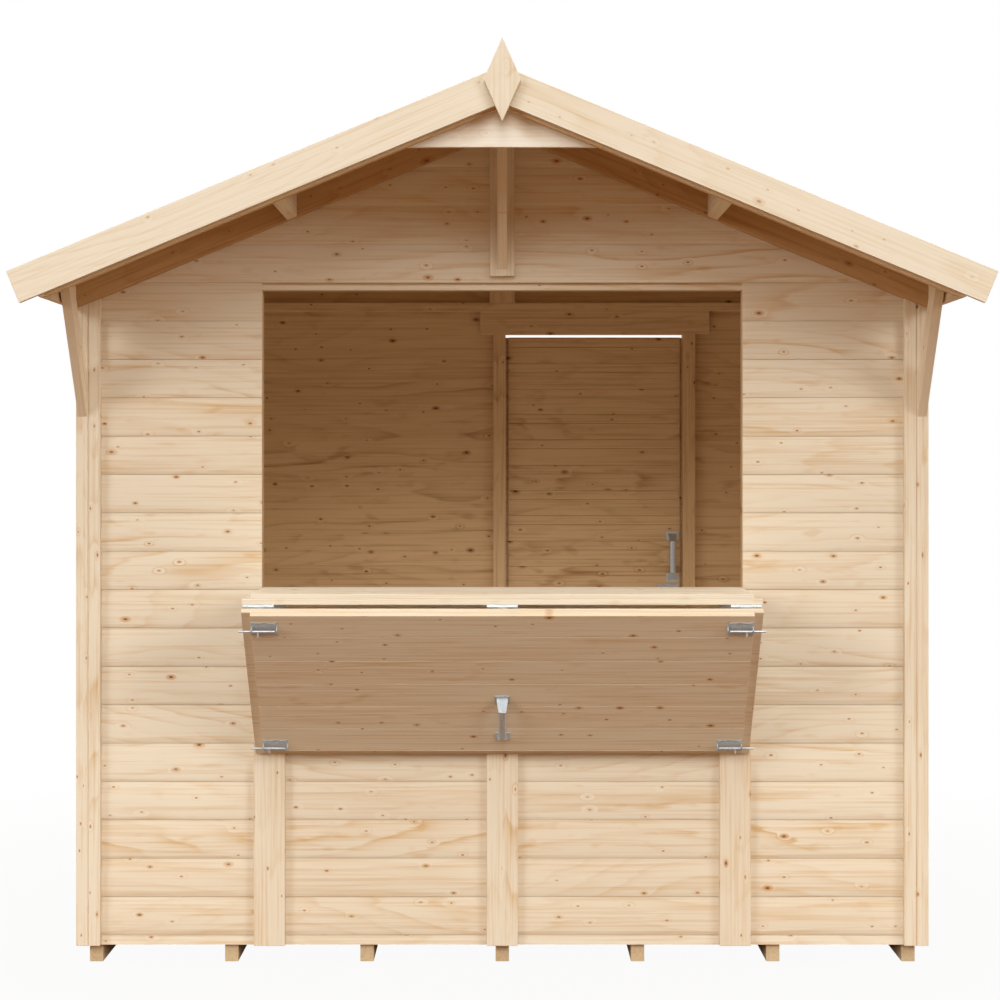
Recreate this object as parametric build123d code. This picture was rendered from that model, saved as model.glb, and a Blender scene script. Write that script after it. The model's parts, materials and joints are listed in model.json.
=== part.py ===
from build123d import *
import math
import os

# Timber market stall with a gabled roof, a folding serving hatch and a back door.
# Millimetres, +Z up, X across the front, Y from the front to the back.
# The origin is on the ground, in the middle of the floor plan.

# Plan and cladding
stall_width = 2434.0
stall_depth = 1536.0
clad_thickness = 16.0
clad_bottom = 52.0
board_pitch = 111.5
first_joint = 80.0
board_crown = 1.6
lap_step = 2.2

# Floor
bearer_width = 39.0
bearer_height = 58.0
bearer_count = 7
floor_thickness = 12.0

# Wall framing
stud_width = 44.0
stud_depth = 44.0
plate_height = 44.0
head_rail_height = 39.0
sill_reveal = 4.0

# Serving opening in the front cladding
opening_half_width = 698.6
opening_lowest_joint = 9
opening_highest_joint = 17
head_reveal = 20.9

# Roof
roof_pitch = 22.5
gable_rise = 435.5
rafter_depth = 75.0
rafter_thickness = 28.0
front_overhang = 464.0
purlin_place = 608.0
deck_thickness = 12.0
deck_overhang = 67.0
eaves_thickness = 16.0
barge_thickness = 18.0
barge_depth = 92.0
barge_rise = 14.5
barge_overhang = 16.0
barge_joint_gap = 1.0
soffit_panel_drop = 104.0
soffit_panel_thickness = 18.0

# Trims on the outside
trim_thickness = 18.0
corner_trim_width = 70.0
side_trim_width = 52.0
trim_groove = 3.0
batten_width = 90.0
batten_inset = 23.6
batten_gap_under_hatch = 8.0
king_batten_width = 72.0
king_batten_rise = 17.5
finial_width = 100.0
finial_height = 226.0
finial_drop = 44.0
finial_thickness = 18.0

# Braces under the roof overhang
brace_angle = 37.0
brace_depth = 70.0
brace_thickness = 26.0
corner_brace_inset = 6.0
corner_brace_drop = 390.5
corner_brace_back_cut = 181.0
centre_brace_rise = 36.5

# Back door and its surround
door_opening_left = 12.0
door_opening_right = 645.0
door_head_drop = 74.5
door_gap = 5.0
door_head_gap = 9.0
door_floor_gap = 8.0
door_lap = 5.0
door_hinge_side_inset = 10.0
door_latch_side_inset = 7.0
door_board = 91.0
door_bead = 32.0
door_trim_width = 70.0
lintel_overrun_left = 92.0
lintel_overrun_right = 95.0
lintel_height = 83.0
back_rail_height = 29.0
back_rail_end_gap = 71.0
back_gable_post_width = 90.0

# Folding hatch: the counter leaf is hinged to the wall, the prop leaf to the counter
hatch_wall_gap = 5.0
hatch_outer_thickness = 16.0
hatch_inner_thickness = 14.0
hatch_side_lap = 14.4
hatch_top_lap = 4.5
hatch_foot_drop = 24.5
hatch_lip = 25.0
hatch_foot_lip = 27.0
counter_length = 348.0
hatch_board = 91.0
first_hatch_board = 81.0
board_groove = 2.5
rest_gap = 0.3

# Butt hinges
knuckle_radius = 4.0
pin_radius = 2.0
pin_clearance = 0.3
hinge_edge_gap = 3.0
hinge_pin_stand_off = 4.5
hinge_length = 85.0
knuckle_gap = 0.6
knuckle_count = 3
flap_width = 30.0
flap_thickness = 2.0
flap_edge = 1.0
hatch_hinge_inset = 8.0
door_hinge_heights = (320.0, 1650.0)

# Barrel bolts and pull handles
bolt_plate_length = 72.0
bolt_plate_width = 50.0
bolt_plate_thickness = 2.0
bolt_rod_radius = 3.0
bolt_rod_length = 100.0
bolt_stand_off = 12.0
bolt_throw = 34.0
bolt_clearance = 0.4
bolt_guide_length = 3.0
bolt_guide_width = 16.0
bolt_guide_wall = 2.0
bolt_plate_dip = 4.0
door_bolt_edge_gap = 4.0
bolt_knob_radius = 2.5
bolt_knob_length = 15.0
bolt_knob_shot = 17.0
bolt_rod_tail = 30.0
keeper_clearance = 2.0
keeper_extra_depth = 4.0
hatch_bolt_edge_gap = 1.0
hatch_bolt_inset = 50.0
door_bolt_drop = 122.0
handle_length = 180.0
handle_plate_length = 30.0
handle_plate_width = 43.0
handle_plate_thickness = 2.5
handle_strap_width = 33.0
handle_strap_thickness = 6.0
handle_grip_width = 21.0
handle_grip_thickness = 8.0
handle_grip_height = 34.0
handle_leg_run = 26.0
handle_leg_start = 8.0
hatch_handle_inset = 163.0
door_handle_x = 611.0
door_handle_height = 1114.0

# Worked out from the sizes above
half_width = stall_width / 2
front = -stall_depth / 2
back = stall_depth / 2
slope = math.tan(math.radians(roof_pitch))
rafter_plumb = rafter_depth / math.cos(math.radians(roof_pitch))
deck_plumb = deck_thickness / math.cos(math.radians(roof_pitch))
barge_plumb = barge_depth / math.cos(math.radians(roof_pitch))
floor_top = bearer_height + floor_thickness
frame_half_width = half_width - clad_thickness
frame_front = front + clad_thickness
frame_back = back - clad_thickness
overall_half_width = half_width + trim_thickness
deck_half_width = overall_half_width + eaves_thickness + deck_overhang
barge_half_width = deck_half_width + barge_overhang
opening_bottom = first_joint + board_pitch * opening_lowest_joint
opening_top = first_joint + board_pitch * opening_highest_joint
wall_top = opening_top
ridge_underside = wall_top + gable_rise
ridge_top = ridge_underside + rafter_plumb
soffit_panel_bottom = ridge_underside - soffit_panel_drop
finial_bottom = ridge_underside - finial_drop
king_batten_bottom = wall_top + king_batten_rise
corner_brace_foot = wall_top - corner_brace_drop
centre_brace_foot = wall_top + centre_brace_rise
sill_top = opening_bottom + sill_reveal
head_underside = opening_top - head_reveal
eaves_front = front - front_overhang
eaves_back = back + rafter_thickness
batten_place = opening_half_width - batten_inset
hatch_half_width = opening_half_width + hatch_side_lap
hatch_pin_height = opening_bottom - hatch_foot_drop
hatch_hinge_place = batten_place - hatch_hinge_inset
door_top = wall_top - door_head_drop
door_opening_top = door_top + door_head_gap
lintel_left = door_opening_left - lintel_overrun_left
lintel_right = door_opening_right + lintel_overrun_right
back_rail_half_length = frame_half_width - back_rail_end_gap
door_bolt_height = door_handle_height - door_bolt_drop
door_trim_left = door_opening_left - door_lap - door_gap
door_trim_right = door_opening_right + door_lap + door_gap


def rafter_low(x):
    """Height of the rafters' lower edge at a distance x from the ridge."""
    return ridge_underside - abs(x) * slope


def deck_low(x):
    """Height of the roof boards' underside at a distance x from the ridge."""
    return ridge_top - abs(x) * slope


def block(x0, x1, y0, y1, z0, z1):
    """A straight piece of timber or plate between two corners."""
    size = Box(x1 - x0, y1 - y0, z1 - z0, align=(Align.MIN, Align.MIN, Align.MIN))
    return Pos(x0, y0, z0) * size


def prism(points, direction):
    """A straight-sided solid drawn by its end face."""
    return Solid.extrude(Face(Wire.make_polygon(points)), Vector(*direction))


def across(points, x0, x1):
    """A (y, z) outline carried across the stall."""
    return prism([(x0, y, z) for y, z in points], (x1 - x0, 0, 0))


def along(points, y0, y1):
    """An (x, z) outline carried from front to back."""
    return prism([(x, y0, z) for x, z in points], (0, y1 - y0, 0))


def mirrored(piece):
    """The same piece on the other side of the ridge line."""
    return mirror(piece, about=Plane.YZ)


def both_sides(piece):
    return [piece, mirrored(piece)]


def save(name, *pieces):
    solids = []
    for piece in pieces:
        solids.extend(piece.solids())
    shape = solids[0] if len(solids) == 1 else Compound(children=solids)
    export_step(shape, os.path.join("parts", name + ".step"))


def under_roof():
    """Everything below the roof boards, to trim what reaches up to them."""
    reach = overall_half_width + eaves_thickness
    outline = [(-reach, 0), (reach, 0), (reach, deck_low(reach)), (0, ridge_top),
               (-reach, deck_low(reach))]
    return along(outline, eaves_front, eaves_back)


def cladding(point, run, z0, z1):
    """Rounded boards that lap, cut off at z0 and z1. point(depth, height) gives their outline."""
    head_depth = board_crown + lap_step
    crown_height = board_pitch / (1 + math.sqrt(head_depth / board_crown))
    edges = []
    low = first_joint - board_pitch
    foot = point(board_crown, low)
    while low < z1:
        high = low + board_pitch
        head = point(head_depth, high)
        edges.append(ThreePointArc(point(board_crown, low), point(0, low + crown_height), head))
        edges.append(Line(head, point(board_crown, high)))
        low = high
    back_line = (point(board_crown, low), point(clad_thickness, low),
                 point(clad_thickness, first_joint - board_pitch), foot)
    for start, end in zip(back_line, back_line[1:]):
        edges.append(Line(start, end))
    boards = Solid.extrude(Face(Wire(edges)), Vector(*run))
    return boards & block(-stall_width, stall_width, -stall_depth, stall_depth, z0, z1)


def front_cladding(x0, x1, z0, z1):
    return cladding(lambda d, z: (x0, front + d, z), (x1 - x0, 0, 0), z0, z1)


def back_cladding(x0, x1, z0, z1):
    return cladding(lambda d, z: (x0, back - d, z), (x1 - x0, 0, 0), z0, z1)


def side_cladding(z0, z1):
    """The cladding of the right side, between the front and the back boards."""
    return cladding(lambda d, z: (half_width - d, frame_front, z),
                    (0, frame_back - frame_front, 0), z0, z1)


def sloped_pair(x0, x1, low, high, y0, y1):
    """Two sloped boards with plumb ends, one each side of the ridge."""
    outline = [(x0, low(x0)), (x1, low(x1)), (x1, high(x1)), (x0, high(x0))]
    return both_sides(along(outline, y0, y1))


def floor():
    span = 2 * frame_half_width - bearer_width
    bearers = []
    for i in range(bearer_count):
        x = -frame_half_width + span * i / (bearer_count - 1)
        bearers.append(block(x, x + bearer_width, frame_front, frame_back, 0, bearer_height))
    save("bearers", *bearers)
    save("floor_deck", block(-frame_half_width, frame_half_width, frame_front, frame_back,
                             bearer_height, floor_top))


def ridge_beam():
    half = rafter_thickness / 2
    return block(-half, half, eaves_front, eaves_back, ridge_underside, ridge_top) & under_roof()


def walls():
    roof_line = under_roof()
    ridge_slot = ridge_beam()
    left = front_cladding(-half_width, -opening_half_width, clad_bottom, wall_top)
    save("front_wall_left", left)
    save("front_wall_right", mirrored(left))
    save("front_wall_lower", front_cladding(-opening_half_width, opening_half_width,
                                            clad_bottom, opening_bottom))
    gable = front_cladding(-half_width, half_width, wall_top, ridge_top)
    save("front_gable", (gable & roof_line) - ridge_slot)
    side = side_cladding(clad_bottom, deck_low(half_width))
    save("right_wall", side)
    save("left_wall", mirrored(side))
    save("back_wall_left", back_cladding(-half_width, door_opening_left, clad_bottom, wall_top))
    save("back_wall_right", back_cladding(door_opening_right, half_width, clad_bottom, wall_top))
    save("back_wall_over_door", back_cladding(door_opening_left, door_opening_right,
                                              door_opening_top, wall_top))
    gable = back_cladding(-half_width, half_width, wall_top, ridge_top)
    save("back_gable", (gable & roof_line) - ridge_slot)


def front_frame():
    y0 = frame_front
    y1 = frame_front + stud_depth
    corner = block(frame_half_width - stud_width, frame_half_width, y0, y1,
                   floor_top, head_underside)
    jamb = block(opening_half_width, opening_half_width + stud_width, y0, y1, floor_top, head_underside)
    keeper_depth = keeper_extra_depth + hatch_bolt_reach() - opening_half_width
    for place in hatch_bolt_places():
        y, z = closed_prop_point(place, bolt_stand_off)
        hole = Cylinder(bolt_rod_radius + keeper_clearance, keeper_depth,
                        rotation=(0, 90, 0))
        jamb -= Pos(opening_half_width + keeper_depth / 2, y, z) * hole
    middle = block(frame_half_width - stud_depth, frame_half_width, -stud_width / 2,
                   stud_width / 2, floor_top, side_beam_underside())
    save("wall_studs", *both_sides(corner), *both_sides(jamb), *both_sides(middle))
    save("front_sill", block(-opening_half_width, opening_half_width, y0, y1, sill_top - plate_height, sill_top))
    save("front_head_rail", block(-frame_half_width, frame_half_width, y0, y1,
                                  head_underside, head_underside + head_rail_height))


def side_beam_underside():
    return rafter_low(frame_half_width)


def plates():
    """Sole plates between the studs, and the beams that carry the roof at the eaves."""
    roof_line = under_roof()
    z0 = floor_top
    z1 = floor_top + plate_height
    inner = frame_half_width - stud_width
    pieces = [block(-opening_half_width, opening_half_width, frame_front, frame_front + stud_depth, z0, z1)]
    beam = block(frame_half_width - stud_depth, frame_half_width, frame_front + stud_depth,
                 frame_back - stud_depth, side_beam_underside(), ridge_top) & roof_line
    pieces.extend(both_sides(beam))
    for y_low, y_high in ((frame_front + stud_depth, -stud_width / 2),
                          (stud_width / 2, frame_back - stud_depth)):
        sole = block(frame_half_width - stud_depth, frame_half_width, y_low, y_high, z0, z1)
        pieces.extend(both_sides(sole))
    pieces.append(block(-inner, door_opening_left - stud_width, frame_back - stud_depth,
                        frame_back, z0, z1))
    pieces.append(block(door_opening_right + stud_width, inner, frame_back - stud_depth,
                        frame_back, z0, z1))
    save("wall_plates", *pieces)


def back_frame():
    y0 = frame_back - stud_depth
    y1 = frame_back
    rail_low = door_opening_top + lintel_height
    corner = block(frame_half_width - stud_width, frame_half_width, y0, y1, floor_top,
                   deck_low(frame_half_width))
    left = block(door_opening_left - stud_width, door_opening_left, y0, y1, floor_top,
                 door_opening_top)
    right = block(door_opening_right, door_opening_right + stud_width, y0, y1, floor_top,
                  door_opening_top)
    slot = Cylinder(bolt_rod_radius + keeper_clearance, stud_width, rotation=(0, 90, 0))
    slot_y = door_inner_face() - bolt_stand_off
    right -= Pos(door_opening_right + stud_width / 2, slot_y, door_bolt_height) * slot
    save("back_posts", *both_sides(corner), left, right)
    save("door_lintel", block(lintel_left, lintel_right, y0, y1, door_opening_top, rail_low))
    save("back_rail", block(-back_rail_half_length, back_rail_half_length, y0, y1,
                            rail_low, rail_low + back_rail_height))
    post = block(-back_gable_post_width / 2, back_gable_post_width / 2, y0, y1,
                 rail_low + back_rail_height, ridge_top) & under_roof()
    save("back_gable_post", post - ridge_beam())


def corner_board(y0, y1, groove_side):
    """A corner board on a gable end, under the rafter, with a groove down its middle."""
    inner = overall_half_width - corner_trim_width
    outline = [(inner, clad_bottom), (overall_half_width, clad_bottom),
               (overall_half_width, rafter_low(overall_half_width)), (inner, rafter_low(inner))]
    board = along(outline, y0, y1)
    middle = (inner + overall_half_width) / 2
    groove_y = y0 if groove_side < 0 else y1 - trim_groove
    groove = block(middle - trim_groove / 2, middle + trim_groove / 2, groove_y,
                   groove_y + trim_groove, clad_bottom, ridge_top)
    return board - groove


def trims():
    save("front_corner_boards", *both_sides(corner_board(front - trim_thickness, front, -1)))
    save("back_corner_boards", *both_sides(corner_board(back, back + trim_thickness, 1)))
    top = rafter_low(overall_half_width)
    front_trim = block(half_width, overall_half_width, front, front + side_trim_width,
                       clad_bottom, top)
    back_trim = block(half_width, overall_half_width, back - side_trim_width, back,
                      clad_bottom, top)
    save("side_corner_boards", *both_sides(front_trim), *both_sides(back_trim))
    battens = []
    for x in (-batten_place, 0.0, batten_place):
        battens.append(block(x - batten_width / 2, x + batten_width / 2,
                             front - trim_thickness, front, clad_bottom,
                             hatch_pin_height - batten_gap_under_hatch))
    half = king_batten_width / 2
    outline = [(-half, king_batten_bottom), (half, king_batten_bottom), (half, rafter_low(half)),
               (0, ridge_underside), (-half, rafter_low(half))]
    battens.append(along(outline, front - trim_thickness, front))
    save("front_battens", *battens)
    trim_top = door_opening_top + door_trim_width
    left = block(door_trim_left - door_trim_width, door_trim_left, back,
                 back + trim_thickness, clad_bottom, trim_top)
    right = block(door_trim_right, door_trim_right + door_trim_width, back,
                  back + trim_thickness, clad_bottom, trim_top)
    save("door_trims", left, right)


def brace(foot, x0, x1, back_cut):
    """A sloping brace from the wall out to the roof, in the (y, z) plane."""
    lean = math.tan(math.radians(brace_angle))
    wall = front - trim_thickness
    height = ridge_top - foot
    heel = foot + brace_depth / math.sin(math.radians(brace_angle))
    outline = [(wall, foot), (wall - height * lean, foot + height)]
    if back_cut:
        cut = front - back_cut
        outline.append((cut, foot + height))
        outline.append((cut, heel + (wall - cut) / lean))
    else:
        outline.append((wall - (height - heel + foot) * lean, foot + height))
    outline.append((wall, heel))
    return across(outline, x0, x1)


def braces():
    outer = overall_half_width - corner_brace_inset
    corner = brace(corner_brace_foot, outer - brace_thickness, outer, corner_brace_back_cut)
    save("corner_braces", *both_sides(corner & under_roof()))
    half = rafter_thickness / 2
    below_ridge = block(-half, half, eaves_front, front, 0, ridge_underside)
    save("centre_brace", brace(centre_brace_foot, -half, half, 0) & below_ridge)


def roof():
    half = rafter_thickness / 2
    end = overall_half_width
    save("ridge_beam", ridge_beam())
    save("outer_rafters", *sloped_pair(half, end, rafter_low, deck_low, eaves_front,
                                       eaves_front + rafter_thickness))
    at_front = sloped_pair(half, end, rafter_low, deck_low, front - rafter_thickness, front)
    at_back = sloped_pair(half, end, rafter_low, deck_low, back, back + rafter_thickness)
    save("gable_rafters", *at_front, *at_back)
    low = purlin_place - half
    high = purlin_place + half
    save("purlins", *sloped_pair(low, high, rafter_low, deck_low, frame_front, frame_back))
    save("overhang_noggins", *sloped_pair(low, high, rafter_low, deck_low,
                                          eaves_front + rafter_thickness,
                                          front - rafter_thickness))
    save("eaves_boards", *sloped_pair(end, end + eaves_thickness,
                                      lambda x: rafter_low(end), deck_low,
                                      eaves_front, eaves_back))
    deck = [(0, deck_low(0)), (deck_half_width, deck_low(deck_half_width)),
            (deck_half_width, deck_low(deck_half_width) + deck_plumb), (0, ridge_top + deck_plumb)]
    right = along(deck, eaves_front, eaves_back)
    save("roof_deck_right", right)
    save("roof_deck_left", mirrored(right))
    panel_half = (ridge_top - soffit_panel_bottom) / slope
    y0 = eaves_front + rafter_thickness
    triangle = [(-panel_half, soffit_panel_bottom), (panel_half, soffit_panel_bottom),
                (0, ridge_top)]
    save("overhang_gable_panel", along(triangle, y0, y0 + soffit_panel_thickness) - ridge_beam())


def barge_pair(y0, y1):
    top = ridge_top + deck_plumb + barge_rise
    tilt = math.radians(roof_pitch)
    outer_z = top - barge_half_width * slope
    foot_x = barge_half_width - barge_depth * math.sin(tilt)
    foot_z = outer_z - barge_depth * math.cos(tilt)
    gap = barge_joint_gap / 2
    outline = [(gap, top - gap * slope), (barge_half_width, outer_z), (foot_x, foot_z),
               (gap, top - barge_plumb - gap * slope)]
    return both_sides(along(outline, y0, y1))


def finial(y0, y1):
    middle = finial_bottom + finial_height / 2
    outline = [(0, finial_bottom), (finial_width / 2, middle), (0, finial_bottom + finial_height),
               (-finial_width / 2, middle)]
    return along(outline, y0, y1)


def barges():
    y_front = eaves_front - barge_thickness
    y_back = eaves_back + barge_thickness
    save("front_bargeboards", *barge_pair(y_front, eaves_front))
    save("back_bargeboards", *barge_pair(eaves_back, y_back))
    save("finials", finial(y_front - finial_thickness, y_front),
         finial(y_back, y_back + finial_thickness))


# The two hatch leaves are drawn closed, upright in front of the wall, and then folded down.
outer_face = front - hatch_wall_gap - hatch_outer_thickness
inner_face = front - hatch_wall_gap + hatch_inner_thickness
pin_y = outer_face - hinge_pin_stand_off
counter_bottom = hatch_pin_height + hinge_edge_gap
counter_top = counter_bottom + counter_length
prop_pin_height = counter_top + hinge_edge_gap
prop_bottom = prop_pin_height + hinge_edge_gap
prop_top = opening_top + hatch_top_lap


def prop_lean():
    """Lean from upright at which the prop leaf's foot rests against the battens."""
    pin_from_wall = prop_pin_height - hatch_pin_height
    batten_face = front - trim_thickness
    span = pin_from_wall + (batten_face - rest_gap) - pin_y
    length = prop_top - prop_pin_height
    diagonal = math.hypot(length, hinge_pin_stand_off)
    return math.degrees(math.asin(span / diagonal) + math.atan(hinge_pin_stand_off / length))


def closed_prop_point(place, stand_off):
    """Where a point of the prop leaf's inner face is with the hatch shut, as (y, z)."""
    return inner_face + stand_off, prop_pin_height + place


def hatch_bolt_places():
    """Where the bolts are, measured from the prop leaf's pin."""
    return hatch_bolt_inset, prop_top - prop_pin_height - hatch_bolt_inset


def hatch_bolt_x():
    """Middle of the bolt plates, which end just inside the edge of the inner boards."""
    return hatch_half_width - hatch_lip - hatch_bolt_edge_gap - bolt_plate_length / 2


def hatch_bolt_reach():
    """How far from the middle the rods of the hatch bolts reach when they are shot."""
    return hatch_bolt_x() - bolt_rod_tail + bolt_rod_length


def about_x(piece, y, z, angle):
    return Pos(0, y, z) * Rot(angle, 0, 0) * Pos(0, -y, -z) * piece


def fold_counter(piece):
    return about_x(piece, pin_y, hatch_pin_height, 90)


def fold_prop(piece):
    return fold_counter(about_x(piece, pin_y, prop_pin_height, 90 + prop_lean()))


def grooved(length, thickness, joints):
    """Outline of boards side by side, with a V groove at each joint of their inner face."""
    outline = [(0, 0), (0, thickness)]
    for joint in joints:
        if board_groove < joint < length - board_groove:
            outline.append((joint - board_groove / 2, thickness))
            outline.append((joint, thickness - board_groove))
            outline.append((joint + board_groove / 2, thickness))
    outline.append((length, thickness))
    outline.append((length, 0))
    return outline


def leaf(z0, z1, lip_low, lip_high, first_board):
    """Two crossed layers of boards; the inner one fits inside the opening."""
    half = hatch_half_width
    inner_half = half - hatch_lip
    layer_joint = front - hatch_wall_gap
    outer = block(-half, half, outer_face, layer_joint, z0, z1)
    low = z0 + lip_low
    joints = []
    joint = first_board - lip_low
    while joint < z1 - low:
        joints.append(joint)
        joint += hatch_board
    outline = grooved(z1 - lip_high - low, hatch_inner_thickness, joints)
    inner = across([(layer_joint + d, low + h) for h, d in outline], -inner_half, inner_half)
    return outer + inner


def knuckles(first, spans):
    """Every second knuckle of a hinge whose pin lies on the X axis, starting at the first."""
    length = hinge_length / knuckle_count
    pieces = []
    for i in range(first, knuckle_count, 2):
        x = -hinge_length / 2 + length * (i + 0.5)
        drum = Cylinder(knuckle_radius, length - knuckle_gap, rotation=(0, 90, 0))
        web = spans(x - (length - knuckle_gap) / 2, x + (length - knuckle_gap) / 2)
        pieces.append(Pos(x, 0, 0) * drum + web)
    return pieces


def hinge_half(side, with_pin, drop):
    """Half a butt hinge, pin on the X axis, flap towards side*Z, its back at y = drop."""
    near = hinge_edge_gap + flap_edge
    far = near + flap_width
    flap = block(-hinge_length / 2, hinge_length / 2, drop - flap_thickness, drop,
                 min(side * near, side * far), max(side * near, side * far))

    def web(x0, x1):
        return block(x0, x1, 0, drop, min(0, side * (near + flap_edge)),
                     max(0, side * (near + flap_edge)))

    first = 0 if with_pin else 1
    half = flap
    bore = Cylinder(pin_radius + pin_clearance, hinge_length, rotation=(0, 90, 0))
    for piece in knuckles(first, web):
        half += piece if with_pin else piece - bore
    if with_pin:
        half += Cylinder(pin_radius, hinge_length, rotation=(0, 90, 0))
    return half


def bolt_plate():
    """Plate with two pierced end lugs for a bolt that shoots towards +X, lying on y = 0."""
    half = bolt_plate_length / 2
    edge = bolt_plate_width / 2
    dip = edge - bolt_plate_dip
    outline = Polyline((-half, -edge), (-half, edge))
    outline += ThreePointArc((-half, edge), (-half / 2, dip), (0, edge))
    outline += ThreePointArc((0, edge), (half / 2, dip), (half, edge))
    outline += Polyline((half, edge), (half, -edge))
    outline += ThreePointArc((half, -edge), (half / 2, -dip), (0, -edge))
    outline += ThreePointArc((0, -edge), (-half / 2, -dip), (-half, -edge))
    face = Plane.XZ * make_face(outline)
    plate = extrude(face, -bolt_plate_thickness)
    top = bolt_stand_off + bolt_rod_radius + bolt_clearance + bolt_guide_wall
    lug = block(0, bolt_guide_length, 0, top, -bolt_guide_width / 2, bolt_guide_width / 2)
    plate += Pos(-half, 0, 0) * lug
    plate += Pos(half - bolt_guide_length, 0, 0) * lug
    bore = Cylinder(bolt_rod_radius + bolt_clearance, bolt_plate_length * 2,
                    rotation=(0, 90, 0))
    return plate - Pos(0, bolt_stand_off, 0) * bore


def bolt_rod():
    """Rod and knob of a barrel bolt, shot towards +X."""
    rod = Cylinder(bolt_rod_radius, bolt_rod_length, rotation=(0, 90, 0))
    knob = Cylinder(bolt_knob_radius, bolt_knob_length,
                    align=(Align.CENTER, Align.CENTER, Align.MIN))
    rod = Pos(bolt_rod_length / 2 - bolt_rod_tail, 0, 0) * rod
    return Pos(0, bolt_stand_off, 0) * (rod + Pos(bolt_knob_shot, 0, 0) * knob)


def pull_handle():
    """A bowed pull handle lying on y = 0, standing along Z: oval grip, flat tapered legs."""
    half = handle_length / 2
    foot = half - handle_leg_start
    bend = foot - handle_leg_run
    middle = handle_grip_height - handle_grip_thickness / 2
    half_strap = handle_strap_thickness / 2
    half_grip = handle_grip_width / 2
    oval = Ellipse(half_grip, handle_grip_thickness / 2)
    handle = Pos(0, middle, -bend) * extrude(oval, 2 * bend)
    for side in (-1, 1):
        seen_from_front = [(-handle_strap_width / 2, side * foot),
                           (handle_strap_width / 2, side * foot),
                           (half_grip, side * bend), (-half_grip, side * bend)]
        seen_from_side = [(0, side * foot), (handle_strap_thickness, side * foot),
                          (middle + half_strap, side * bend), (middle - half_strap, side * bend)]
        leg = across(seen_from_side, -handle_strap_width / 2, handle_strap_width / 2)
        handle += leg & along(seen_from_front, 0, handle_grip_height)
        low = min(side * (half - handle_plate_length), side * half)
        handle += block(-handle_plate_width / 2, handle_plate_width / 2, 0,
                        handle_plate_thickness, low, low + handle_plate_length)
    return handle


def hatch():
    save("counter_leaf", fold_counter(leaf(counter_bottom, counter_top, hatch_foot_lip, 0,
                                           first_hatch_board)))
    save("prop_leaf", fold_prop(leaf(prop_bottom, prop_top, 0, hatch_lip, first_hatch_board)))
    to_face = hinge_pin_stand_off
    to_batten = front - trim_thickness - pin_y
    on_wall = []
    on_counter = []
    on_prop = []
    for x in (-hatch_hinge_place, 0.0, hatch_hinge_place):
        low = Pos(x, pin_y, hatch_pin_height)
        high = Pos(x, pin_y, prop_pin_height)
        on_wall.append(low * hinge_half(-1, True, to_batten))
        on_counter.append(fold_counter(low * hinge_half(1, False, to_face)))
        on_counter.append(fold_counter(high * hinge_half(-1, True, to_face)))
        on_prop.append(fold_prop(high * hinge_half(1, False, to_face)))
    save("wall_hinges", *on_wall)
    save("counter_hinges", *on_counter)
    save("prop_hinges", *on_prop)
    plates = []
    for row, place in zip(("upper", "lower"), hatch_bolt_places()):
        y, z = closed_prop_point(place, 0)
        seat = Pos(hatch_bolt_x(), y, z)
        plates.extend(both_sides(seat * bolt_plate()))
        rod = seat * bolt_rod()
        save("hatch_bolt_" + row + "_right", fold_prop(rod))
        save("hatch_bolt_" + row + "_left", fold_prop(mirrored(rod)))
    save("hatch_bolt_plates", *[fold_prop(plate) for plate in plates])
    y, z = closed_prop_point(prop_top - prop_pin_height - hatch_handle_inset, 0)
    save("hatch_handle", fold_prop(Pos(0, y, z) * pull_handle()))


def door_inner_face():
    return back + trim_thickness - hatch_outer_thickness - hatch_inner_thickness


def door_leaf(inner, outer, bottom):
    """Beaded boards on a wider outer layer that laps the opening's sides."""
    layer_joint = outer - hatch_outer_thickness
    cover = block(door_opening_left - door_lap, door_opening_right + door_lap, layer_joint, outer,
                  bottom, door_top)
    joints = []
    height = door_board
    while height < door_top - bottom:
        joints.extend([height - door_bead, height])
        height += door_board
    outline = grooved(door_top - bottom, hatch_inner_thickness, joints)
    boards = across([(layer_joint - d, bottom + h) for h, d in outline],
                    door_opening_left + door_hinge_side_inset,
                    door_opening_right - door_latch_side_inset)
    return cover + boards


def door():
    inner = door_inner_face()
    outer = back + trim_thickness
    save("door_leaf", door_leaf(inner, outer, floor_top + door_floor_gap))
    pin_x = door_opening_left - door_lap - door_gap / 2
    pin_door_y = outer + hinge_pin_stand_off
    turn = Rot(0, 0, 180) * Rot(0, 90, 0)
    fixed = []
    moving = []
    for z in door_hinge_heights:
        seat = Pos(pin_x, pin_door_y, z) * turn
        fixed.append(seat * hinge_half(1, True, hinge_pin_stand_off))
        moving.append(seat * hinge_half(-1, False, hinge_pin_stand_off))
    save("door_frame_hinges", *fixed)
    save("door_hinges", *moving)
    face = Pos(0, inner, 0) * Rot(0, 0, 180)
    save("door_handle", Pos(door_handle_x, 0, door_handle_height) * face * pull_handle())
    plate_end = door_opening_right - door_latch_side_inset - door_bolt_edge_gap
    bolt_seat = Pos(plate_end - bolt_plate_length / 2, inner, door_bolt_height)
    flip = Rot(180, 0, 0)
    save("door_bolt_plate", bolt_seat * flip * bolt_plate())
    save("door_bolt", bolt_seat * flip * Pos(-bolt_throw, 0, 0) * bolt_rod())


os.makedirs("parts", exist_ok=True)
floor()
walls()
front_frame()
plates()
back_frame()
trims()
braces()
roof()
barges()
hatch()
door()
print("prop leaf lean from upright", round(prop_lean(), 3))
print("hatch pin", round(pin_y, 3), hatch_pin_height, "prop pin at rest",
      round(pin_y - (prop_pin_height - hatch_pin_height), 3), hatch_pin_height)
print("door pin", door_opening_left - door_lap - door_gap / 2,
      back + trim_thickness + hinge_pin_stand_off)
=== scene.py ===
import bpy
import json
import math
from mathutils import Matrix, Vector

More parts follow.
